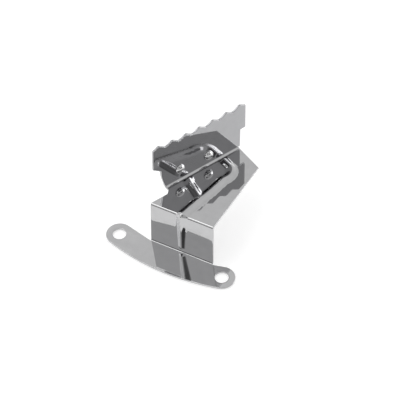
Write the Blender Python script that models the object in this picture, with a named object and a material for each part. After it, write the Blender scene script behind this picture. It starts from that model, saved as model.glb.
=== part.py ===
"""A pressed window bracket with a riveted, wave-toothed plate.

The bracket is one sheet of steel: a crescent foot with two screw ears, a web, a top plate and an
upturned flange, stiffened by a pressed bead. The toothed plate stands against the flange and two
rivets hold it there. Each sheet is drawn flat, pressed, and then folded along its bend lines.

Flat drawing of the bracket, in millimetres: +X runs along the bends and +Y from the foot towards
the back. Y = 0 is where the top plate leaves its front bend. Height 0 is the sheet's outer face.
"""

import math

import bmesh
import bpy
from mathutils import Matrix, Vector

MM = 0.001
UP = Vector((0.0, 0.0, 1.0))
FORWARD = Vector((0.0, -1.0, 0.0))
X_AXIS = Vector((1.0, 0.0, 0.0))
Y_AXIS = Vector((0.0, 1.0, 0.0))

# Sheet and bends
SHEET = 0.8
TOP_BEND_OUTER = 0.9
FOOT_BEND_INNER = 0.5
FLANGE_BEND_INNER = 1.8
TOP_BEND_ANGLE = math.radians(90.0)
FOOT_BEND_ANGLE = math.radians(84.5)
FLANGE_BEND_ANGLE = math.radians(90.0)
BEND_STEPS = 4

# Web and top plate
WEB_WIDTH = 28.0
WEB_HEIGHT = 20.2
TOP_DEPTH = 38.45
FOLD_ANGLE = math.radians(66.5)
FOLD_LEFT_END = (-12.84, 9.79)
FOLD_LENGTH = 37.3
NOTCH_START = -1.7

# Foot
FOOT_FRONT_RADIUS = 94.0
EAR_RADIUS = 5.4
HOLE_RADIUS = 2.7
LEFT_EAR = (-26.8, 3.0)
RIGHT_EAR = (20.4, 4.4)
ARC_STEPS = 9

# Bead
BEAD_HEIGHT = 1.3
BEAD_HALF_WIDTH = 2.5
BEAD_END = 0.8
BEAD_TAPER = 0.35
WEB_STEPS = 16
HOOK_RADIUS = 5.2
BEAD_FADE = 1.2
CREST_SHARE = 0.2
BEAD_STEPS = 3
BEAD_CELL = 1.25
BEAD_ZONE_LEFT = -9.0
BEAD_ZONE_RIGHT = 12.0
BEAD_ZONE_BACK = 36.0
HOOK_SWEEP = math.radians(105.0)
HOOK_STEPS = 4

# Toothed plate, measured along the fold from its left end and up from the top plate
GAP = 0.3
PLATE_FOOT = 1.1
NECK_TOP_LEFT = (-2.2, 10.5)
NECK_TOP_RIGHT = (37.5, 10.0)
HEAD_LEFT = -6.2
HEAD_RIGHT = 40.0
HEAD_LEFT_BOTTOM = 13.5
HEAD_RIGHT_BOTTOM = 10.2
TOOTH_COUNT = 7
TOOTH_PITCH = 6.69
TOOTH_DEPTH = 1.8
TOOTH_MEAN = 22.4
TOOTH_STEPS = 6
TOOTH_ROUNDING = 0.35
NECK_STEPS = 3
HEAD_DISH = 1.1
HEAD_SLOPE = -0.7
FLANGE_HEIGHT = 9.2

# Rivets
RIVET_PLACES = ((7.0, 6.5), (21.3, 5.4))
RIVET_HEAD_RADIUS = 2.2
RIVET_HEAD_HEIGHT = 1.4
RIVET_SHANK_RADIUS = 1.2
RIVET_TAIL_RADIUS = 1.8
RIVET_TAIL_HEIGHT = 0.8
RIVET_TAIL_TAPER = 0.8
RIVET_SIDES = 20
DOME_STEPS = 4
DRILL_DEPTH = 8.0

# Worked out from the sizes above
FOLD_DIRECTION = Vector((math.cos(FOLD_ANGLE), math.sin(FOLD_ANGLE)))
FOLD_NORMAL = Vector((-math.sin(FOLD_ANGLE), math.cos(FOLD_ANGLE)))
BACK_CORNER = Vector((WEB_WIDTH / 2, TOP_DEPTH - TOP_BEND_OUTER))
FOLD_START = Vector(FOLD_LEFT_END)
FLANGE_FACE = SHEET + GAP
FLANGE_TANGENT = FLANGE_FACE - FLANGE_BEND_INNER
TOP_BEND_LENGTH = TOP_BEND_OUTER * TOP_BEND_ANGLE
FOOT_SETBACK = FOOT_BEND_INNER * math.tan(FOOT_BEND_ANGLE / 2)
FOOT_BEND_LENGTH = FOOT_BEND_INNER * FOOT_BEND_ANGLE
WEB_BOTTOM_Y = -TOP_BEND_LENGTH - (WEB_HEIGHT - TOP_BEND_OUTER - FOOT_SETBACK)
FOOT_Y = WEB_BOTTOM_Y - FOOT_BEND_LENGTH


def clear_scene():
    for item in list(bpy.data.objects):
        bpy.data.objects.remove(item, do_unlink=True)


def steel(name, shade, roughness):
    material = bpy.data.materials.new(name)
    material.use_nodes = True
    shader = material.node_tree.nodes["Principled BSDF"]
    shader.inputs["Base Color"].default_value = (shade, shade, shade, 1.0)
    shader.inputs["Metallic"].default_value = 1.0
    shader.inputs["Roughness"].default_value = roughness
    return material


def arc_points(centre, radius, start, end, steps):
    """Points on a circle from one angle to another, both ends included."""
    points = []
    for step in range(steps + 1):
        angle = start + (end - start) * step / steps
        points.append(Vector((centre[0] + radius * math.cos(angle), centre[1] + radius * math.sin(angle))))
    return points


def spread(first, last, steps):
    """Evenly spaced values, both ends included."""
    return [first + (last - first) * step / steps for step in range(steps + 1)]


def smoothstep(value):
    value = min(max(value, 0.0), 1.0)
    return value * value * (3.0 - 2.0 * value)


# ---------------------------------------------------------------- flat outlines


def foot_point(x, forward):
    """A point on the flat drawing, a distance forward of the corner between web and foot."""
    return Vector((x, FOOT_Y - (forward - FOOT_SETBACK)))


def tangent_angle(corner, centre):
    """Angle, at an ear's centre, of the straight back edge's touching point."""
    away = corner - centre
    lean = math.acos(EAR_RADIUS / away.length)
    side = 1.0 if corner.x > centre.x else -1.0
    return math.atan2(away.y, away.x) + side * lean


def front_arc_centre(left, right):
    """Centre of the front edge's arc, which runs smoothly into both ears."""
    span = right - left
    back = Vector((-span.y, span.x)).normalized()
    reach = FOOT_FRONT_RADIUS - EAR_RADIUS
    return (left + right) / 2 + back * math.sqrt(reach ** 2 - (span.length / 2) ** 2)


def foot_outline():
    """From the web's left corner round the left ear, the front and the right ear."""
    corner_left = Vector((-WEB_WIDTH / 2, FOOT_Y))
    corner_right = Vector((WEB_WIDTH / 2, FOOT_Y))
    left = foot_point(*LEFT_EAR)
    right = foot_point(*RIGHT_EAR)
    centre = front_arc_centre(left, right)
    to_left = left - centre
    to_right = right - centre
    front_left = math.atan2(to_left.y, to_left.x)
    front_right = math.atan2(to_right.y, to_right.x)
    points = [corner_left]
    points += arc_points(left, EAR_RADIUS, tangent_angle(corner_left, left),
                         front_left + 2 * math.pi, ARC_STEPS)
    points += arc_points(centre, FOOT_FRONT_RADIUS, front_left, front_right, ARC_STEPS)[1:-1]
    points += arc_points(right, EAR_RADIUS, front_right, tangent_angle(corner_right, right), ARC_STEPS)
    points.append(corner_right)
    return points


def fold_point(along, beyond):
    """A point of the flat drawing, along the fold from its left end and beyond its line."""
    return FOLD_START + along * FOLD_DIRECTION + beyond * FOLD_NORMAL


def flange_rise(height):
    """How far beyond the fold a point of the flange at this height lies on the flat drawing."""
    bend = FLANGE_BEND_INNER * FLANGE_BEND_ANGLE
    return FLANGE_TANGENT + bend + height - FLANGE_BEND_INNER


def neck_edge(height):
    """Left edge of the neck: a bight that is deepest at the fold."""
    share = min(max(height / NECK_TOP_LEFT[1], 0.0), 1.0)
    return NECK_TOP_LEFT[0] * math.sin(share * math.pi / 2)


def plate_and_flange_outline():
    """From the web's right side round the top plate and the flange to the web's left side."""
    front_left = Vector((-WEB_WIDTH / 2, 0.0))
    start_along = (front_left - FOLD_START).dot(FOLD_DIRECTION)
    land = -(front_left - FOLD_START).dot(FOLD_NORMAL)
    points = [BACK_CORNER.copy()]
    points.append(fold_point(FOLD_LENGTH - GAP, FLANGE_TANGENT))
    points.append(fold_point(FOLD_LENGTH - GAP, flange_rise(FLANGE_HEIGHT)))
    for height in spread(FLANGE_HEIGHT, FLANGE_BEND_INNER, NECK_STEPS):
        points.append(fold_point(neck_edge(height) + GAP, flange_rise(height)))
    points.append(fold_point(GAP, FLANGE_TANGENT))
    points.append(fold_point(NOTCH_START * 0.45, -land * 0.6))
    points.append(fold_point(NOTCH_START, -land))
    points.append(fold_point(start_along, -land))
    return points


def bracket_outline():
    return foot_outline() + plate_and_flange_outline()


# ---------------------------------------------------------------- bead


def bead_route():
    """Centre lines of the pressed bead on the flat drawing: the long run and the short arm."""
    lower_end = WEB_BOTTOM_Y + BEAD_END + BEAD_HALF_WIDTH * (1.0 - BEAD_TAPER)
    run = [Vector((0.0, lower_end)), Vector((0.0, 0.0))]
    hook_centre = fold_point(22.3, -5.3)
    run += [fold_point(3.7, -14.0), fold_point(12.8, -12.3)]
    run += arc_points(hook_centre, HOOK_RADIUS, FOLD_ANGLE - HOOK_SWEEP, FOLD_ANGLE, HOOK_STEPS)
    run.append(fold_point(27.6, 0.0))
    arm = [fold_point(10.5, 0.0), fold_point(8.9, -4.3), fold_point(7.8, -9.1), fold_point(6.8, -13.5)]
    return run, arm


def distance_to_route(point, route):
    nearest = 1.0e9
    for start, end in zip(route, route[1:]):
        span = end - start
        share = min(max((point - start).dot(span) / span.length_squared, 0.0), 1.0)
        nearest = min(nearest, (point - start - share * span).length)
    return nearest


BEAD_RUN, BEAD_ARM = bead_route()


def ridge(across):
    """Section of the bead, 1 at its crest and 0 at its edge: two straight flanks, both ends rounded."""
    steep = 1.0 / (1.0 - CREST_SHARE)
    if across < CREST_SHARE:
        return 1.0 - steep * across ** 2 / (2 * CREST_SHARE)
    if across > 1.0 - CREST_SHARE:
        return steep * (1.0 - across) ** 2 / (2 * CREST_SHARE)
    return steep * (1.0 - CREST_SHARE / 2 - across)


def bead_lift(point):
    """Height that the press raises the sheet at a point of the flat drawing."""
    lift = 0.0
    taper = 1.0 - BEAD_TAPER * smoothstep(point.y / WEB_BOTTOM_Y)
    for route in (BEAD_RUN, BEAD_ARM):
        across = distance_to_route(point, route) / (taper * BEAD_HALF_WIDTH)
        if across < 1.0:
            lift = max(lift, taper * BEAD_HEIGHT * ridge(across))
    beyond = (point - FOLD_START).dot(FOLD_NORMAL) - FLANGE_TANGENT
    return lift * (1.0 - smoothstep(1.0 + beyond / BEAD_FADE))


# ---------------------------------------------------------------- folding


def bend(place, start, direction, radius, angle, up):
    """Wrap what lies past a line round a cylinder whose axis lies on the side called up.

    start is a point on the line where the bend begins and direction the way across it. radius is
    measured to height 0.
    """
    past = (place - start).dot(direction)
    if past <= 0.0:
        return place
    lift = (place - start).dot(up)
    length = radius * angle
    turned = min(past / length, 1.0) * angle
    rest = max(past - length, 0.0)
    along = place - past * direction - lift * up
    reach = radius - lift
    centre = along + radius * up
    spoke = math.sin(turned) * direction - math.cos(turned) * up
    ahead = math.cos(turned) * direction + math.sin(turned) * up
    return centre + reach * spoke + rest * ahead


def is_ear(x):
    return abs(x) > WEB_WIDTH / 2 + 1.0e-4


def fold_bracket(flat):
    """Carry a point of the flat, pressed sheet to its place on the finished bracket."""
    ear = is_ear(flat.x) and flat.y < -TOP_BEND_LENGTH
    if flat.y > 0.0:
        return bend(flat, fold_point(0.0, FLANGE_TANGENT).to_3d(), FOLD_NORMAL.to_3d(),
                    FLANGE_BEND_INNER, FLANGE_BEND_ANGLE, UP)
    if ear:
        place = unbent_foot(flat - Vector((0.0, FOOT_Y, 0.0)))
    else:
        place = bend(flat, Vector((0.0, WEB_BOTTOM_Y, 0.0)), FORWARD, FOOT_BEND_INNER, FOOT_BEND_ANGLE, UP)
    return bend(place, Vector(), FORWARD, TOP_BEND_OUTER, TOP_BEND_ANGLE, -UP)


def unbent_foot(foot):
    """Place a point of the foot, given from where its bend ends, past the folded bend."""
    angle = FOOT_BEND_ANGLE
    radius = FOOT_BEND_INNER
    centre = Vector((foot.x, WEB_BOTTOM_Y, radius))
    spoke = math.sin(angle) * FORWARD - math.cos(angle) * UP
    ahead = math.cos(angle) * FORWARD + math.sin(angle) * UP
    return centre + (radius - foot.z) * spoke - foot.y * ahead


def standing_frame():
    """Matrix that stands the folded bracket on its foot, with the origin under the foot."""
    under = []
    for x, forward in ((0.0, 8.0), (8.0, 8.0), (0.0, 10.0)):
        flat = foot_point(x, forward)
        under.append(fold_bracket(Vector((flat.x, flat.y, -SHEET))))
    origin = under[0]
    right = (under[1] - origin).normalized()
    ahead = (under[2] - origin).normalized()
    back = -ahead
    up = right.cross(back)
    turn = Matrix((right, back, up)).to_4x4()
    return turn @ Matrix.Translation(-origin)


STAND = standing_frame()


# ---------------------------------------------------------------- meshes


def flat_solid(outline, low, high):
    """A closed prism over an outline."""
    mesh = bmesh.new()
    ring = [mesh.verts.new((point.x, point.y, low)) for point in outline]
    face = mesh.faces.new(ring)
    lifted = bmesh.ops.extrude_face_region(mesh, geom=[face])
    for item in lifted["geom"]:
        if isinstance(item, bmesh.types.BMVert):
            item.co.z = high
    bmesh.ops.recalc_face_normals(mesh, faces=mesh.faces)
    return mesh


def to_object(mesh, name, material):
    data = bpy.data.meshes.new(name)
    mesh.to_mesh(data)
    mesh.free()
    item = bpy.data.objects.new(name, data)
    bpy.context.collection.objects.link(item)
    data.materials.append(material)
    return item


def cut_holes(item, places, radius):
    """Drill round holes through a flat solid, along Z."""
    for number, place in enumerate(places):
        mesh = bmesh.new()
        bmesh.ops.create_cone(mesh, cap_ends=True, segments=RIVET_SIDES, radius1=radius, radius2=radius,
                              depth=DRILL_DEPTH, matrix=Matrix.Translation((place.x, place.y, 0.0)))
        data = bpy.data.meshes.new("drill")
        mesh.to_mesh(data)
        mesh.free()
        drill = bpy.data.objects.new(f"drill_{number}", data)
        bpy.context.collection.objects.link(drill)
        cut = item.modifiers.new("hole", "BOOLEAN")
        cut.operation = "DIFFERENCE"
        cut.object = drill
        depsgraph = bpy.context.evaluated_depsgraph_get()
        result = bpy.data.meshes.new_from_object(item.evaluated_get(depsgraph))
        item.modifiers.clear()
        item.data = result
        bpy.data.objects.remove(drill, do_unlink=True)


def slice_rows(mesh, direction, places):
    """Add a row of edges across a direction at each place, for later bending."""
    for place in places:
        bmesh.ops.bisect_plane(mesh, geom=mesh.verts[:] + mesh.edges[:] + mesh.faces[:], dist=1.0e-5,
                               plane_co=place * direction, plane_no=direction)


def slice_bracket(mesh):
    """Give the blank enough points to follow its bends and its bead."""
    bmesh.ops.triangulate(mesh, faces=mesh.faces)
    rows = spread(-TOP_BEND_LENGTH, 0.0, BEND_STEPS) + spread(FOOT_Y, WEB_BOTTOM_Y, BEND_STEPS)
    rows += spread(BEAD_CELL, BEAD_ZONE_BACK, round(BEAD_ZONE_BACK / BEAD_CELL))
    rows += spread(WEB_BOTTOM_Y, -TOP_BEND_LENGTH, WEB_STEPS)[1:-1]
    columns = [-WEB_WIDTH / 2, WEB_WIDTH / 2] + spread(-BEAD_HALF_WIDTH, BEAD_HALF_WIDTH, 2 * BEAD_STEPS)
    left, right = BEAD_ZONE_LEFT + BEAD_HALF_WIDTH, BEAD_ZONE_RIGHT - BEAD_HALF_WIDTH
    columns += spread(BEAD_ZONE_LEFT, -BEAD_HALF_WIDTH - BEAD_CELL, round(-left / BEAD_CELL) - 1)
    columns += spread(BEAD_HALF_WIDTH + BEAD_CELL, BEAD_ZONE_RIGHT, round(right / BEAD_CELL) - 1)
    slice_rows(mesh, Y_AXIS, rows)
    slice_rows(mesh, X_AXIS, columns)
    bend_line = FOLD_START.dot(FOLD_NORMAL) + FLANGE_TANGENT
    bend_end = bend_line + FLANGE_BEND_INNER * FLANGE_BEND_ANGLE
    slice_rows(mesh, FOLD_NORMAL.to_3d(), [bend_line - BEAD_FADE] + spread(bend_line, bend_end, BEND_STEPS))


def make_bracket(material):
    item = to_object(flat_solid(bracket_outline(), -SHEET, 0.0), "pressed_bracket", material)
    rivet_holes = [fold_point(along, flange_rise(height)) for along, height in RIVET_PLACES]
    cut_holes(item, [foot_point(*LEFT_EAR), foot_point(*RIGHT_EAR)], HOLE_RADIUS)
    cut_holes(item, rivet_holes, RIVET_SHANK_RADIUS + GAP)
    mesh = bmesh.new()
    mesh.from_mesh(item.data)
    slice_bracket(mesh)
    for vertex in mesh.verts:
        flat = vertex.co.copy()
        flat.z += bead_lift(flat.to_2d())
        vertex.co = (STAND @ fold_bracket(flat)) * MM
    finish_mesh(mesh)
    mesh.to_mesh(item.data)
    mesh.free()
    return item


def finish_mesh(mesh):
    bmesh.ops.remove_doubles(mesh, verts=mesh.verts, dist=1.0e-6)
    bmesh.ops.dissolve_limit(mesh, angle_limit=math.radians(0.4), verts=mesh.verts, edges=mesh.edges)
    bmesh.ops.triangulate(mesh, faces=mesh.faces)
    bmesh.ops.recalc_face_normals(mesh, faces=mesh.faces)


def plate_frame():
    """Matrix from the toothed plate's own drawing to the finished bracket.

    On the drawing +X runs along the fold, +Y up the plate and +Z towards its front.
    """
    along = FOLD_DIRECTION.to_3d()
    up = math.sin(FLANGE_BEND_ANGLE) * UP + math.cos(FLANGE_BEND_ANGLE) * FOLD_NORMAL.to_3d()
    turn = Matrix((along, up, along.cross(up))).transposed().to_4x4()
    return STAND @ Matrix.Translation(FOLD_START.to_3d()) @ turn


def tooth_height(along):
    """Top edge of the head: rounded waves on a slightly dished line."""
    middle = (HEAD_LEFT + HEAD_RIGHT) / 2
    share = (along - middle) / ((HEAD_RIGHT - HEAD_LEFT) / 2)
    turn = (along - middle) / TOOTH_PITCH
    wave = 1.0 - 4.0 * abs(turn - math.floor(turn + 0.5))
    rounded = wave + TOOTH_ROUNDING * (math.sin(wave * math.pi / 2) - wave)
    return TOOTH_MEAN + TOOTH_DEPTH / 2 * rounded + HEAD_DISH * share ** 2 + HEAD_SLOPE * share


def plate_outline():
    points = [Vector((0.0, PLATE_FOOT)), Vector((FOLD_LENGTH, PLATE_FOOT)), Vector(NECK_TOP_RIGHT)]
    points.append(Vector((HEAD_RIGHT, HEAD_RIGHT_BOTTOM)))
    count = TOOTH_COUNT * TOOTH_STEPS
    for step in range(count + 1):
        along = HEAD_RIGHT + (HEAD_LEFT - HEAD_RIGHT) * step / count
        points.append(Vector((along, tooth_height(along))))
    points.append(Vector((HEAD_LEFT, HEAD_LEFT_BOTTOM)))
    for height in spread(NECK_TOP_LEFT[1], PLATE_FOOT, NECK_STEPS):
        points.append(Vector((neck_edge(height), height)))
    return points[1:]


def make_toothed_plate(material):
    item = to_object(flat_solid(plate_outline(), -SHEET, 0.0), "toothed_plate", material)
    cut_holes(item, [Vector(place) for place in RIVET_PLACES], RIVET_SHANK_RADIUS + GAP)
    mesh = bmesh.new()
    mesh.from_mesh(item.data)
    bmesh.ops.transform(mesh, matrix=Matrix.Scale(MM, 4) @ plate_frame(), verts=mesh.verts)
    bmesh.ops.triangulate(mesh, faces=mesh.faces)
    bmesh.ops.recalc_face_normals(mesh, faces=mesh.faces)
    mesh.to_mesh(item.data)
    mesh.free()
    return item


def rivet_profile():
    """Half section of a set rivet, from the top of its dome down the shank to its tail."""
    points = []
    for step in range(DOME_STEPS + 1):
        angle = math.pi / 2 * (1.0 - step / DOME_STEPS)
        points.append((RIVET_HEAD_RADIUS * math.cos(angle), GAP + RIVET_HEAD_HEIGHT * math.sin(angle)))
    back = -2.0 * SHEET - 2.0 * GAP
    points += [(RIVET_SHANK_RADIUS, GAP), (RIVET_SHANK_RADIUS, back), (RIVET_TAIL_RADIUS, back)]
    points += [(RIVET_TAIL_RADIUS * RIVET_TAIL_TAPER, back - RIVET_TAIL_HEIGHT), (0.0, back - RIVET_TAIL_HEIGHT)]
    return points


def make_rivet(name, where, material):
    mesh = bmesh.new()
    verts = [mesh.verts.new((radius, 0.0, height)) for radius, height in rivet_profile()]
    for first, second in zip(verts, verts[1:]):
        mesh.edges.new((first, second))
    bmesh.ops.spin(mesh, geom=mesh.verts[:] + mesh.edges[:], axis=(0, 0, 1), cent=(0, 0, 0),
                   steps=RIVET_SIDES, angle=2 * math.pi, use_merge=True)
    bmesh.ops.remove_doubles(mesh, verts=mesh.verts, dist=1.0e-4)
    place = Matrix.Translation((*where, 0.0))
    bmesh.ops.transform(mesh, matrix=Matrix.Scale(MM, 4) @ plate_frame() @ place, verts=mesh.verts)
    bmesh.ops.recalc_face_normals(mesh, faces=mesh.faces)
    item = to_object(mesh, name, material)
    item.data.shade_smooth()
    item.data.set_sharp_from_angle(angle=math.radians(40.0))
    return item


def main():
    clear_scene()
    make_bracket(steel("bracket_steel", 0.62, 0.05))
    make_toothed_plate(steel("plate_steel", 0.58, 0.05))
    rivet_steel = steel("rivet_steel", 0.66, 0.08)
    for name, where in zip(("left_rivet", "right_rivet"), RIVET_PLACES):
        make_rivet(name, where, rivet_steel)


main()
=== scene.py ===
# %% [markdown]
# # A pressed window bracket in polished steel
#
# The object is a small fitting of window and shutter hardware. One sheet of steel is cut, pressed
# and bent into a foot, a web and a top plate. Here the toothed flap is built as a second plate that
# two rivets hold to an upturned flange. That is one reading: the real flap may well be folded from
# the same sheet, with two pressed pips where the rivets stand. Everything is polished like a mirror,
# so most of what the eye sees is reflection: the shapes have to be right before the finish can be.
#
# The lesson draws each sheet flat, rounds its cut edges, presses the bead into it and then folds
# it along its bend lines, in the order in which a press shop works.

# %% Load the frame
import math

import bmesh
import bpy
from mathutils import Matrix, Vector


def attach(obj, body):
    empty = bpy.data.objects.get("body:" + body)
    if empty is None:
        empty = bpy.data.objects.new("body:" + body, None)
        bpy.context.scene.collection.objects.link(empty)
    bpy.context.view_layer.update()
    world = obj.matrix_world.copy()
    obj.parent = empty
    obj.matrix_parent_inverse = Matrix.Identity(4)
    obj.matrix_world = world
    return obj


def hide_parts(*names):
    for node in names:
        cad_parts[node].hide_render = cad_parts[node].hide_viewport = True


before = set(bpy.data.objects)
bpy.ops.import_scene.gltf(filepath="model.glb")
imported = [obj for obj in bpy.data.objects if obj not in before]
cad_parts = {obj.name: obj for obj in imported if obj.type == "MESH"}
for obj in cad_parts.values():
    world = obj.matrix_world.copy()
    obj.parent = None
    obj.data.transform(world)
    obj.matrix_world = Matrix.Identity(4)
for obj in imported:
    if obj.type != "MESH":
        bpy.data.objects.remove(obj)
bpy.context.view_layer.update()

MM = 0.001
print("pieces in the frame:", sorted(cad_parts))

# %% [markdown]
# ## The camera
#
# A catalogue picture of such a fitting is taken from high up and far away, so that parallel edges
# stay almost parallel. A long lens does the same here. The camera looks from the front right.

# %% Camera
VIEW_AZIMUTH = 31.63
VIEW_ELEVATION = 50.0
VIEW_ROLL = -4.09
VIEW_DISTANCE = 1.2
PICTURE_WIDTH = 0.1578
SENSOR = 36.0


def camera_frame(azimuth, elevation, roll):
    """Right, up and back directions of a camera that stands at these angles."""
    a, e, r = (math.radians(angle) for angle in (azimuth, elevation, roll))
    back = Vector((math.sin(a) * math.cos(e), -math.cos(a) * math.cos(e), math.sin(e)))
    right = Vector((math.cos(a), math.sin(a), 0.0))
    up = back.cross(right)
    turned_right = math.cos(r) * right + math.sin(r) * up
    return turned_right, back.cross(turned_right), back


def make_camera(target):
    right, up, back = camera_frame(VIEW_AZIMUTH, VIEW_ELEVATION, VIEW_ROLL)
    data = bpy.data.cameras.new("camera")
    data.sensor_width = SENSOR
    data.lens = SENSOR * VIEW_DISTANCE / PICTURE_WIDTH
    data.clip_end = 10.0
    camera = bpy.data.objects.new("camera", data)
    bpy.context.scene.collection.objects.link(camera)
    turn = Matrix((right, up, back)).transposed().to_4x4()
    camera.matrix_world = Matrix.Translation(target + VIEW_DISTANCE * back) @ turn
    bpy.context.scene.camera = camera
    return camera


camera = make_camera(Vector((0.00246, 0.02057, 0.02062)))
print("camera at", [round(value, 3) for value in camera.location])

# %% [markdown]
# ## The sizes of the blanks
#
# A blank is the flat piece that a die cuts before any bend is made. Each length is given in
# millimetres on the flat sheet, and the sheet is 0.8 mm thick, the usual stock for small pressed
# fittings. +X runs along the bends, +Y from the foot towards the back, and y = 0 is where the top
# plate leaves its front bend. Height 0 is the face that ends up outside on the top plate.

# %% Driving sizes
SHEET = 0.8
TOP_BEND = (0.9, math.radians(90.0))
FOOT_BEND = (0.5, math.radians(84.5))
FLANGE_BEND = (1.8, math.radians(90.0))
WEB_WIDTH = 28.0
WEB_HEIGHT = 20.2
TOP_DEPTH = 38.45
FOLD_ANGLE = math.radians(66.5)
FOLD_START = (-12.84, 9.79)
FOLD_LENGTH = 37.3
NOTCH_START = -1.7
FOOT_FRONT_RADIUS = 94.0
EAR_RADIUS = 5.4
HOLE_RADIUS = 2.7
LEFT_EAR = (-26.8, 3.0)
RIGHT_EAR = (20.4, 4.4)
GAP = 0.3

half_web = WEB_WIDTH / 2
top_bend_length = TOP_BEND[0] * TOP_BEND[1]
foot_setback = FOOT_BEND[0] * math.tan(FOOT_BEND[1] / 2)
web_bottom = -top_bend_length - (WEB_HEIGHT - TOP_BEND[0] - foot_setback)
foot_start = web_bottom - FOOT_BEND[0] * FOOT_BEND[1]
print("flat length of the web:", round(-web_bottom, 2), "mm")

# %% [markdown]
# ## The slanting fold
#
# The flange is bent up along a line that slants at 66.5 degrees to the front bend. Points near it
# are easiest to give along the fold and beyond it, so one function turns those two numbers into a
# place on the blank.

# %% Fold line
fold_along = Vector((math.cos(FOLD_ANGLE), math.sin(FOLD_ANGLE)))
fold_across = Vector((-math.sin(FOLD_ANGLE), math.cos(FOLD_ANGLE)))
back_corner = Vector((half_web, TOP_DEPTH - TOP_BEND[0]))
fold_start = Vector(FOLD_START)
flange_tangent = SHEET + GAP - FLANGE_BEND[0]
flange_bend_length = FLANGE_BEND[0] * FLANGE_BEND[1]


def fold_point(along, beyond):
    return fold_start + along * fold_along + beyond * fold_across


def foot_point(x, forward):
    """A place on the foot, measured forward from the corner between web and foot."""
    return Vector((x, foot_start - (forward - foot_setback)))


def arc(centre, radius, start, end, steps):
    angles = [start + (end - start) * step / steps for step in range(steps + 1)]
    return [centre + radius * Vector((math.cos(a), math.sin(a))) for a in angles]


print("fold runs from", tuple(round(v, 1) for v in fold_start), "for", FOLD_LENGTH, "mm")

# %% [markdown]
# ## The foot's outline
#
# The foot is a crescent: an ear round each screw hole, a front edge that bulges forward as one
# long arc, and straight back edges that touch the ears. The arc's centre is found so that it
# flows into both ears with no corner, which is how a die maker would draw it.

# %% Foot outline
EAR_STEPS = 40
FRONT_STEPS = 60

left_ear = foot_point(*LEFT_EAR)
right_ear = foot_point(*RIGHT_EAR)


def front_arc_centre():
    span = right_ear - left_ear
    back = Vector((-span.y, span.x)).normalized()
    reach = FOOT_FRONT_RADIUS - EAR_RADIUS
    return (left_ear + right_ear) / 2 + back * math.sqrt(reach ** 2 - (span.length / 2) ** 2)


def touch_angle(corner, ear):
    """Where a straight edge from a corner touches the ear, as an angle at the ear's centre."""
    away = corner - ear
    side = 1.0 if corner.x > ear.x else -1.0
    return math.atan2(away.y, away.x) + side * math.acos(EAR_RADIUS / away.length)


def foot_outline():
    corners = [Vector((side * half_web, foot_start)) for side in (-1, 1)]
    centre = front_arc_centre()
    angles = [math.atan2(*reversed(ear - centre)) for ear in (left_ear, right_ear)]
    outline = [corners[0]]
    left_start = touch_angle(corners[0], left_ear)
    outline += arc(left_ear, EAR_RADIUS, left_start, angles[0] + 2 * math.pi, EAR_STEPS)
    outline += arc(centre, FOOT_FRONT_RADIUS, *angles, FRONT_STEPS)[1:-1]
    outline += arc(right_ear, EAR_RADIUS, angles[1], touch_angle(corners[1], right_ear), EAR_STEPS)
    return outline + [corners[1]]


print("hole centres are", round((right_ear - left_ear).length, 1), "mm apart")

# %% [markdown]
# ## The top plate and flange
#
# The rest of the blank runs from the web's right side to the back corner, along the flange and
# back through a rounded bight at the fold's left end. The bight keeps the bend from tearing.

# %% Top plate and flange outline
NECK_TOP_LEFT = (-2.2, 10.5)
FLANGE_HEIGHT = 9.2
BIGHT_STEPS = 14
BIGHT_SHAPE = 1.6


def flange_rise(height):
    """Where a point of the finished flange lies on the blank, beyond the fold's start."""
    return flange_tangent + flange_bend_length + height - FLANGE_BEND[0]


def neck_edge(height):
    """Left edge of the neck, which leans outward as it rises."""
    share = min(max(height / NECK_TOP_LEFT[1], 0.0), 1.0)
    return NECK_TOP_LEFT[0] * math.sin(share * math.pi / 2)


def top_outline():
    corner = Vector((-half_web, 0.0))
    land = -(corner - fold_start).dot(fold_across)
    outline = [back_corner.copy(), fold_point(FOLD_LENGTH - GAP, flange_tangent)]
    outline.append(fold_point(FOLD_LENGTH - GAP, flange_rise(FLANGE_HEIGHT)))
    for step in range(BIGHT_STEPS + 1):
        height = FLANGE_HEIGHT + (FLANGE_BEND[0] - FLANGE_HEIGHT) * step / BIGHT_STEPS
        outline.append(fold_point(neck_edge(height) + GAP, flange_rise(height)))
    for step in range(1, BIGHT_STEPS + 1):
        share = step / BIGHT_STEPS
        along = GAP + (NOTCH_START - GAP) * share ** BIGHT_SHAPE
        outline.append(fold_point(along, flange_tangent - (land + flange_tangent) * share))
    return outline + [corner]


blank_outline = foot_outline() + top_outline()
print("the blank's outline has", len(blank_outline), "points")

# %% [markdown]
# ## The bead
#
# A bead is a rib that a punch raises in the sheet, to stiffen it. This one starts just above the
# foot, widens up the web, runs on over the top plate and hooks round to the slanting fold, and a
# short arm joins it from the fold. It could be modelled by sculpting, but a formula is exact: the
# sheet is lifted by a ridge that depends only on the distance to the bead's centre line.

# %% Bead
BEAD_HEIGHT = 1.3
BEAD_HALF_WIDTH = 2.5
BEAD_END = 0.8
BEAD_TAPER = 0.35
BEAD_FADE = 1.2
CREST_SHARE = 0.2
HOOK_RADIUS = 5.2
HOOK_STEPS = 12

hook_centre = fold_point(22.3, -5.3)
lower_end = web_bottom + BEAD_END + BEAD_HALF_WIDTH * (1.0 - BEAD_TAPER)
bead_run = [Vector((0.0, lower_end)), Vector((0.0, 0.0))]
bead_run += [fold_point(3.7, -14.0), fold_point(12.8, -12.3)]
bead_run += arc(hook_centre, HOOK_RADIUS, FOLD_ANGLE - math.radians(105.0), FOLD_ANGLE, HOOK_STEPS)
bead_run += [fold_point(27.6, 0.0)]
bead_arm = [fold_point(10.5, 0.0), fold_point(8.9, -4.3), fold_point(7.8, -9.1), fold_point(6.8, -13.5)]


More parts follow.
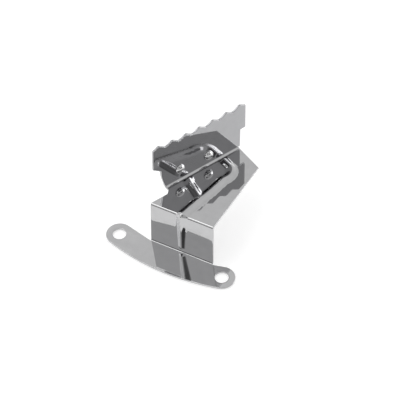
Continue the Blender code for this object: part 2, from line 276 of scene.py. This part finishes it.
def distance_to_route(point, route):
    nearest = math.inf
    for start, end in zip(route, route[1:]):
        span = end - start
        share = min(max((point - start).dot(span) / span.length_squared, 0.0), 1.0)
        nearest = min(nearest, (point - start - share * span).length)
    return nearest


def smooth(value):
    value = min(max(value, 0.0), 1.0)
    return value * value * (3.0 - 2.0 * value)


def ridge(across):
    """Section of the bead, 1 at its crest and 0 at its edge: two straight flanks, both ends rounded."""
    steep = 1.0 / (1.0 - CREST_SHARE)
    if across < CREST_SHARE:
        return 1.0 - steep * across ** 2 / (2 * CREST_SHARE)
    if across > 1.0 - CREST_SHARE:
        return steep * (1.0 - across) ** 2 / (2 * CREST_SHARE)
    return steep * (1.0 - CREST_SHARE / 2 - across)


def bead_lift(point):
    lift = 0.0
    taper = 1.0 - BEAD_TAPER * smooth(point.y / web_bottom)
    for route in (bead_run, bead_arm):
        across = distance_to_route(point, route) / (taper * BEAD_HALF_WIDTH)
        if across < 1.0:
            lift = max(lift, taper * BEAD_HEIGHT * ridge(across))
    beyond = (point - fold_start).dot(fold_across) - flange_tangent
    return lift * (1.0 - smooth(1.0 + beyond / BEAD_FADE))


print("bead height at the middle of the web:", round(bead_lift(Vector((0.0, -10.0))), 2), "mm")

# %% [markdown]
# ## Folding
#
# A bend wraps part of the sheet round an unseen cylinder and carries the rest on along a straight
# line. Working this out for every point of the blank keeps the sheet's thickness true in the bend,
# which an ordinary rotation would not.

# %% Folding functions
UP = Vector((0.0, 0.0, 1.0))
FORWARD = Vector((0.0, -1.0, 0.0))
ORIGIN_FORWARD = 8


def bend(place, start, direction, radius, angle, up):
    """Wrap what lies past a line round a cylinder whose axis lies on the side called up."""
    past = (place - start).dot(direction)
    if past <= 0.0:
        return place
    lift = (place - start).dot(up)
    turned = min(past / (radius * angle), 1.0) * angle
    rest = max(past - radius * angle, 0.0)
    centre = place - past * direction + (radius - lift) * up
    spoke = math.sin(turned) * direction - math.cos(turned) * up
    ahead = math.cos(turned) * direction + math.sin(turned) * up
    return centre + (radius - lift) * spoke + rest * ahead


def bend_foot(place):
    """The foot's bend. The ears reach back past the bend line and stay flat with the foot."""
    radius, angle = FOOT_BEND
    if abs(place.x) <= half_web + 1.0e-4:
        return bend(place, Vector((0.0, web_bottom, 0.0)), FORWARD, radius, angle, UP)
    spoke = math.sin(angle) * FORWARD - math.cos(angle) * UP
    ahead = math.cos(angle) * FORWARD + math.sin(angle) * UP
    centre = Vector((place.x, web_bottom, radius))
    return centre + (radius - place.z) * spoke + (foot_start - place.y) * ahead


def fold_sheet(flat):
    """Carry a point of the flat, pressed sheet to its place on the folded bracket."""
    if flat.y > 0.0:
        line = fold_point(0.0, flange_tangent).to_3d()
        return bend(flat, line, fold_across.to_3d(), *FLANGE_BEND, UP)
    place = bend_foot(flat) if flat.y < -top_bend_length else flat
    return bend(place, Vector(), FORWARD, *TOP_BEND, -UP)


def standing_frame():
    """Matrix that stands the folded bracket on its foot, with the frame's origin under the foot."""
    spots = ((0, ORIGIN_FORWARD), (8, ORIGIN_FORWARD), (0, ORIGIN_FORWARD + 2))
    under = [fold_sheet(foot_point(x, forward).to_3d() - SHEET * UP) for x, forward in spots]
    right = (under[1] - under[0]).normalized()
    back = (under[0] - under[2]).normalized()
    return Matrix((right, back, right.cross(back))).to_4x4() @ Matrix.Translation(-under[0])


stand = standing_frame()
corner = stand @ Vector((-half_web, 0.0, 0.0))
print("top plate's front left corner stands at", tuple(round(value, 1) for value in corner))

# %% [markdown]
# ## From an outline to a solid blank
#
# A 2D curve with an extrusion makes a flat plate with its holes, and its bevel rounds the cut edges
# the way tumbling and polishing do. The curve is turned into a mesh and sliced into small squares,
# because only points that exist can be lifted and bent.

# %% Blank maker
EDGE_ROUND = 0.14
EDGE_STEPS = 3


def blank_mesh(name, outline, holes):
    """A flat plate from height 0 down to the sheet's thickness, with rounded edges."""
    curve = bpy.data.curves.new(name, "CURVE")
    curve.dimensions = "2D"
    curve.fill_mode = "BOTH"
    curve.extrude = SHEET / 2 - EDGE_ROUND
    curve.bevel_depth = EDGE_ROUND
    curve.bevel_resolution = EDGE_STEPS
    curve.offset = -EDGE_ROUND
    for points in [outline] + holes:
        spline = curve.splines.new("POLY")
        spline.points.add(len(points) - 1)
        spline.use_cyclic_u = True
        for target, point in zip(spline.points, points):
            target.co = (point.x, point.y, 0.0, 1.0)
    shape = bpy.data.objects.new(name, curve)
    bpy.context.scene.collection.objects.link(shape)
    evaluated = shape.evaluated_get(bpy.context.evaluated_depsgraph_get())
    mesh = bmesh.new()
    mesh.from_mesh(evaluated.to_mesh())
    evaluated.to_mesh_clear()
    bpy.data.objects.remove(shape)
    bmesh.ops.remove_doubles(mesh, verts=mesh.verts, dist=1.0e-4)
    bmesh.ops.translate(mesh, verts=mesh.verts, vec=(0.0, 0.0, -SHEET / 2))
    return mesh


def slice_rows(mesh, direction, first, last, spacing):
    """Cut rows of edges across a direction, from one place to another."""
    count = max(1, round((last - first) / spacing))
    for step in range(count + 1):
        place = first + (last - first) * step / count
        bmesh.ops.bisect_plane(mesh, geom=mesh.verts[:] + mesh.edges[:] + mesh.faces[:], dist=1.0e-5,
                               plane_co=place * direction, plane_no=direction)


def piece_from_mesh(mesh, name):
    data = bpy.data.meshes.new(name)
    mesh.to_mesh(data)
    mesh.free()
    piece = bpy.data.objects.new(name, data)
    bpy.context.scene.collection.objects.link(piece)
    return piece

# %% [markdown]
# ## The bracket
#
# The blank is sliced finely, the bead is raised, and every point is folded. Smooth shading then
# shows each bend as the round it is, and each flat face stays flat.

# %% Make the bracket
CELL = 0.5
BEND_CELLS = 8
RIVET_PLACES = ((7.0, 6.5), (21.3, 5.4))
RIVET_HOLE = 1.3
HOLE_STEPS = 48


def circle(centre, radius):
    return arc(centre, radius, 0.0, 2 * math.pi, HOLE_STEPS)[:-1]


def make_bracket():
    holes = [circle(left_ear, HOLE_RADIUS), circle(right_ear, HOLE_RADIUS)]
    holes += [circle(fold_point(along, flange_rise(height)), RIVET_HOLE) for along, height in RIVET_PLACES]
    mesh = blank_mesh("bracket_blank", blank_outline, holes)
    across = Vector((0.0, 1.0, 0.0))
    slice_rows(mesh, across, -top_bend_length, 0.0, top_bend_length / BEND_CELLS)
    slice_rows(mesh, across, foot_start, web_bottom, (web_bottom - foot_start) / BEND_CELLS)
    fold_normal = fold_across.to_3d()
    bend_line = fold_start.dot(fold_across) + flange_tangent
    bend_end = bend_line + flange_bend_length
    slice_rows(mesh, fold_normal, bend_line, bend_end, flange_bend_length / BEND_CELLS)
    lows = Vector([min(point[axis] for point in blank_outline) for axis in (0, 1)])
    highs = Vector([max(point[axis] for point in blank_outline) for axis in (0, 1)])
    slice_rows(mesh, across, lows.y, highs.y, CELL)
    slice_rows(mesh, Vector((1.0, 0.0, 0.0)), -half_web, half_web, CELL)
    for side, end in ((-1, lows.x), (1, highs.x)):
        slice_rows(mesh, Vector((1.0, 0.0, 0.0)), side * (half_web + CELL), end, CELL)
    for vertex in mesh.verts:
        flat = vertex.co.copy()
        flat.z += bead_lift(flat.to_2d())
        vertex.co = MM * (stand @ fold_sheet(flat))
    bmesh.ops.remove_doubles(mesh, verts=mesh.verts, dist=1.0e-6)
    bmesh.ops.recalc_face_normals(mesh, faces=mesh.faces)
    piece = piece_from_mesh(mesh, "bracket_sheet")
    piece.data.shade_smooth()
    return piece


bracket = make_bracket()
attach(bracket, "root")
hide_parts("pressed_bracket")
print("bracket has", len(bracket.data.polygons), "faces")

# %% [markdown]
# ## The toothed plate
#
# The plate has a narrow neck in front of the flange and a wider head. Its top edge is cut in seven
# waves. What they grip isn't known. They are a triangle wave with rounded tips, on a line that dips
# slightly in the middle and falls towards the back. A formula keeps all seven alike.

# %% Make the toothed plate
PLATE_FOOT = 1.1
NECK_TOP_RIGHT = (37.5, 10.0)
HEAD = (-6.2, 40.0)
HEAD_BOTTOM = (13.5, 10.2)
TOOTH_COUNT = 7
TOOTH_PITCH = 6.69
TOOTH_DEPTH = 1.8
TOOTH_MEAN = 22.4
TOOTH_STEPS = 16
TOOTH_ROUNDING = 0.35
HEAD_DISH = 1.1
HEAD_SLOPE = -0.7
PLATE_CELL = 1.0


def plate_frame():
    """From the plate's own drawing, +X along the fold and +Y up, to the finished bracket."""
    along = fold_along.to_3d()
    up = math.sin(FLANGE_BEND[1]) * UP + math.cos(FLANGE_BEND[1]) * fold_across.to_3d()
    turn = Matrix((along, up, along.cross(up))).transposed().to_4x4()
    return stand @ Matrix.Translation(fold_start.to_3d()) @ turn


def tooth_height(along):
    middle, half = sum(HEAD) / 2, (HEAD[1] - HEAD[0]) / 2
    turn = (along - middle) / TOOTH_PITCH
    wave = 1.0 - 4.0 * abs(turn - math.floor(turn + 0.5))
    wave += TOOTH_ROUNDING * (math.sin(wave * math.pi / 2) - wave)
    share = (along - middle) / half
    return TOOTH_MEAN + TOOTH_DEPTH / 2 * wave + HEAD_DISH * share ** 2 + HEAD_SLOPE * share


def plate_outline():
    outline = [Vector((FOLD_LENGTH, PLATE_FOOT)), Vector(NECK_TOP_RIGHT)]
    outline.append(Vector((HEAD[1], HEAD_BOTTOM[1])))
    count = TOOTH_COUNT * TOOTH_STEPS
    for step in range(count + 1):
        along = HEAD[1] + (HEAD[0] - HEAD[1]) * step / count
        outline.append(Vector((along, tooth_height(along))))
    outline.append(Vector((HEAD[0], HEAD_BOTTOM[0])))
    for step in range(BIGHT_STEPS + 1):
        height = NECK_TOP_LEFT[1] + (PLATE_FOOT - NECK_TOP_LEFT[1]) * step / BIGHT_STEPS
        outline.append(Vector((neck_edge(height), height)))
    return outline


def make_toothed_plate():
    outline = plate_outline()
    holes = [circle(Vector(place), RIVET_HOLE) for place in RIVET_PLACES]
    mesh = blank_mesh("plate_blank", outline, holes)
    slice_rows(mesh, Vector((1.0, 0.0, 0.0)), HEAD[0], HEAD[1], PLATE_CELL)
    slice_rows(mesh, Vector((0.0, 1.0, 0.0)), PLATE_FOOT, TOOTH_MEAN + TOOTH_DEPTH, PLATE_CELL)
    bmesh.ops.transform(mesh, matrix=Matrix.Scale(MM, 4) @ plate_frame(), verts=mesh.verts)
    bmesh.ops.recalc_face_normals(mesh, faces=mesh.faces)
    piece = piece_from_mesh(mesh, "wave_plate")
    piece.data.shade_smooth()
    return piece


plate = make_toothed_plate()
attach(plate, "root")
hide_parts("toothed_plate")
print("plate has", len(plate.data.polygons), "faces")

# %% [markdown]
# ## The rivets
#
# A rivet is a short pin with a round head. It goes through both sheets and its tail is spread
# behind. Its half section is spun round its axis. Only the round heads are known. The shank and the
# tail are guesses, since nothing shows the back.

# %% Make the rivets
HEAD_RADIUS = 2.2
HEAD_RISE = 1.4
TAIL_RADIUS = 1.8
TAIL_RISE = 0.8
TAIL_SHAPE = 0.6
SHANK_RADIUS = 1.2
SHARP_ANGLE = math.radians(50.0)
DOME_STEPS = 10
SPIN_STEPS = 48
SEAT = 0.02


def rivet_section():
    section = []
    for step in range(DOME_STEPS + 1):
        angle = math.pi / 2 * (1.0 - step / DOME_STEPS)
        section.append((HEAD_RADIUS * math.cos(angle), SEAT + HEAD_RISE * math.sin(angle)))
    back = -2 * SHEET - GAP - SEAT
    section += [(SHANK_RADIUS, SEAT), (SHANK_RADIUS, back), (TAIL_RADIUS, back)]
    for step in range(DOME_STEPS + 1):
        angle = math.pi / 2 * step / DOME_STEPS
        radius = TAIL_RADIUS * math.cos(angle) ** TAIL_SHAPE
        section.append((radius, back - TAIL_RISE * math.sin(angle)))
    return section[:-1] + [(0.0, back - TAIL_RISE)]


def make_rivet(name, where):
    mesh = bmesh.new()
    points = [mesh.verts.new((radius, 0.0, height)) for radius, height in rivet_section()]
    for pair in zip(points, points[1:]):
        mesh.edges.new(pair)
    bmesh.ops.spin(mesh, geom=mesh.verts[:] + mesh.edges[:], axis=UP, cent=(0, 0, 0),
                   steps=SPIN_STEPS, angle=2 * math.pi, use_merge=True)
    bmesh.ops.remove_doubles(mesh, verts=mesh.verts, dist=1.0e-4)
    place = Matrix.Translation((*where, 0.0))
    bmesh.ops.transform(mesh, matrix=Matrix.Scale(MM, 4) @ plate_frame() @ place, verts=mesh.verts)
    bmesh.ops.recalc_face_normals(mesh, faces=mesh.faces)
    piece = piece_from_mesh(mesh, name)
    piece.data.shade_smooth()
    piece.data.set_sharp_from_angle(angle=SHARP_ANGLE)
    return piece


rivets = []
for name, where in zip(("left", "right"), RIVET_PLACES):
    rivet = make_rivet(name + "_rivet_set", where)
    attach(rivet, "root")
    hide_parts(name + "_rivet")
    rivets.append(rivet)
print("rivets:", [rivet.name for rivet in rivets])

# %% [markdown]
# ## The finish
#
# The finish is read as chrome plate, though polished stainless steel looks much the same. A plated
# mirror gives back roughly half of the light evenly over all colours, so its colour is a neutral
# grey and every second reflection is darker again. The greys are matched, and so is the toothed
# plate's slightly darker one.
#
# A pressed sheet is never quite flat: the rolls and the press leave shallow waves. Buffing leaves
# fine marks, and handling leaves it unevenly clean. All three are added, with their spacing and
# height given in millimetres. Those values are plausible ones, chosen for how the mirror looks.

# %% Node helpers
def linear(code):
    """A colour given as an sRGB hex value, turned to the linear light that shaders work in."""
    parts = [int(code[place:place + 2], 16) / 255 for place in (1, 3, 5)]
    return [part / 12.92 if part <= 0.04045 else ((part + 0.055) / 1.055) ** 2.4 for part in parts] + [1.0]


def add_node(tree, kind, links=None, **settings):
    """Add one node. links feeds inputs from outputs, and in_ settings set an input's value."""
    node = tree.nodes.new(kind)
    for key, value in settings.items():
        if key.startswith("in_"):
            node.inputs[key[3:].replace("_", " ")].default_value = value
        else:
            setattr(node, key, value)
    for target, source in (links or {}).items():
        tree.links.new(source, node.inputs[target])
    return node


print("half grey #bcbcbc is", round(linear("#bcbcbc")[0], 2), "in linear light")

# %% Chrome
WAVE_PITCH = 9.0
WAVE_HEIGHT = 0.02
BUFF_PITCH = 0.3
BUFF_HEIGHT = 0.0003
HAZE_PITCH = 3.5
HAZE_SHADE = 0.88


def grain(tree, place, pitch, detail):
    """Noise with one lump every pitch millimetres."""
    return add_node(tree, "ShaderNodeTexNoise", {"Vector": place}, in_Scale=1.0 / (pitch * MM),
                    in_Detail=detail)


def chrome(name, colour, haze):
    """Polished chrome plate. haze is the roughness where the surface is least clean."""
    material = bpy.data.materials.new(name)
    material.use_nodes = True
    tree = material.node_tree
    shader = tree.nodes["Principled BSDF"]
    shader.inputs["Metallic"].default_value = 1.0
    place = add_node(tree, "ShaderNodeTexCoord").outputs["Object"]
    clean = grain(tree, place, HAZE_PITCH, 3.0)
    rough = add_node(tree, "ShaderNodeMapRange", {"Value": clean.outputs["Fac"]}, in_From_Min=0.35,
                     in_From_Max=0.7, in_To_Min=0.02, in_To_Max=haze)
    tone = add_node(tree, "ShaderNodeMix", {"Factor": clean.outputs["Fac"]}, data_type="RGBA")
    tone.inputs[6].default_value = linear(colour)
    tone.inputs[7].default_value = [HAZE_SHADE * part for part in linear(colour)[:3]] + [1.0]
    tree.links.new(tone.outputs[2], shader.inputs["Base Color"])
    waves = add_node(tree, "ShaderNodeBump", {"Height": grain(tree, place, WAVE_PITCH, 0.0).outputs["Fac"]},
                     in_Strength=1.0, in_Distance=WAVE_HEIGHT * MM)
    marks = add_node(tree, "ShaderNodeBump", {"Height": grain(tree, place, BUFF_PITCH, 2.0).outputs["Fac"],
                     "Normal": waves.outputs["Normal"]}, in_Strength=1.0, in_Distance=BUFF_HEIGHT * MM)
    tree.links.new(rough.outputs["Result"], shader.inputs["Roughness"])
    tree.links.new(marks.outputs["Normal"], shader.inputs["Normal"])
    return material


bracket.data.materials.append(chrome("chrome_plate_bracket", "#c5c5c6", 0.06))
plate.data.materials.append(chrome("chrome_plate_toothed", "#aeaeb0", 0.08))
rivet_chrome = chrome("chrome_plate_rivets", "#d0d0d1", 0.06)
for rivet in rivets:
    rivet.data.materials.append(rivet_chrome)
print("the bracket gives back", round(linear("#c5c5c6")[0], 2), "of the light")

# %% [markdown]
# ## The table
#
# The part stands on white opal acrylic that is lit from below, which is how a catalogue picture
# gets a background with almost no shadow. The sheet gives off most of its brightness itself.

# %% Lit table
FLOOR_SIZE = 3.0
TABLE_GLOW = 0.5
TABLE_GREY = 0.68
TABLE_DROP = 0.1


def make_floor():
    mesh = bmesh.new()
    bmesh.ops.create_grid(mesh, x_segments=1, y_segments=1, size=FLOOR_SIZE)
    floor = piece_from_mesh(mesh, "table")
    floor.location.z = -TABLE_DROP * MM
    material = bpy.data.materials.new("opal_acrylic")
    material.use_nodes = True
    shader = material.node_tree.nodes["Principled BSDF"]
    shader.inputs["Base Color"].default_value = (TABLE_GREY, TABLE_GREY, TABLE_GREY, 1.0)
    shader.inputs["Roughness"].default_value = 0.6
    shader.inputs["Emission Color"].default_value = (1.0, 1.0, 1.0, 1.0)
    shader.inputs["Emission Strength"].default_value = TABLE_GLOW
    floor.data.materials.append(material)
    return floor


floor = make_floor()
print("the table gives off", TABLE_GLOW, "of full white by itself")

# %% [markdown]
# ## The room
#
# A mirror shows its surroundings, so lighting it means arranging what it sees. The room is pale.
# Five dark cards give the faces their contrast: above the camera, on the right, low at the front,
# low at the right and high at the back. Three bright boxes put lines on the bends and the bead: low
# at the back right, at the left, and high at the left. Their places and strengths were found by
# trial, for this camera, so other views are plainer.

# %% Room light
ROOM_LIGHT = 0.88
ROOM_CARDS = [
    (30.0, 55.0, 26.0, 8.0, -0.52),
    (66.0, 26.0, 58.0, 20.0, -0.32),
    (130.0, 7.0, 23.0, 12.0, 4.0),
    (-75.0, 38.0, 24.0, 8.0, 0.9),
    (-21.0, 15.0, 17.0, 14.0, -0.84),
    (-105.0, 70.0, 12.0, 6.0, 2.2),
    (84.0, 4.0, 20.0, 10.0, -0.45),
    (170.0, 42.0, 40.0, 10.0, -0.12),
]


def make_room():
    """Each card: azimuth from the front, elevation, outer and inner half angle, added light."""
    world = bpy.data.worlds.new("studio")
    bpy.context.scene.world = world
    world.use_nodes = True
    tree = world.node_tree
    place = add_node(tree, "ShaderNodeTexCoord")
    light = ROOM_LIGHT
    for azimuth, elevation, outer, inner, gain in ROOM_CARDS:
        _, _, toward = camera_frame(azimuth, elevation, 0.0)
        dot = add_node(tree, "ShaderNodeVectorMath", {0: place.outputs["Generated"]},
                       operation="DOT_PRODUCT")
        dot.inputs[1].default_value = toward
        card = add_node(tree, "ShaderNodeMapRange", {"Value": dot.outputs["Value"]},
                        interpolation_type="SMOOTHSTEP", in_From_Min=math.cos(math.radians(outer)),
                        in_From_Max=math.cos(math.radians(inner)), in_To_Min=0.0, in_To_Max=gain)
        both = add_node(tree, "ShaderNodeMath", {0: card.outputs["Result"]}, operation="ADD")
        if isinstance(light, float):
            both.inputs[1].default_value = light
        else:
            tree.links.new(light, both.inputs[1])
        light = both.outputs["Value"]
    tree.links.new(light, tree.nodes["Background"].inputs["Color"])


make_room()
bpy.context.scene.view_settings.view_transform = "Standard"
print("cards and soft boxes:", len(ROOM_CARDS))
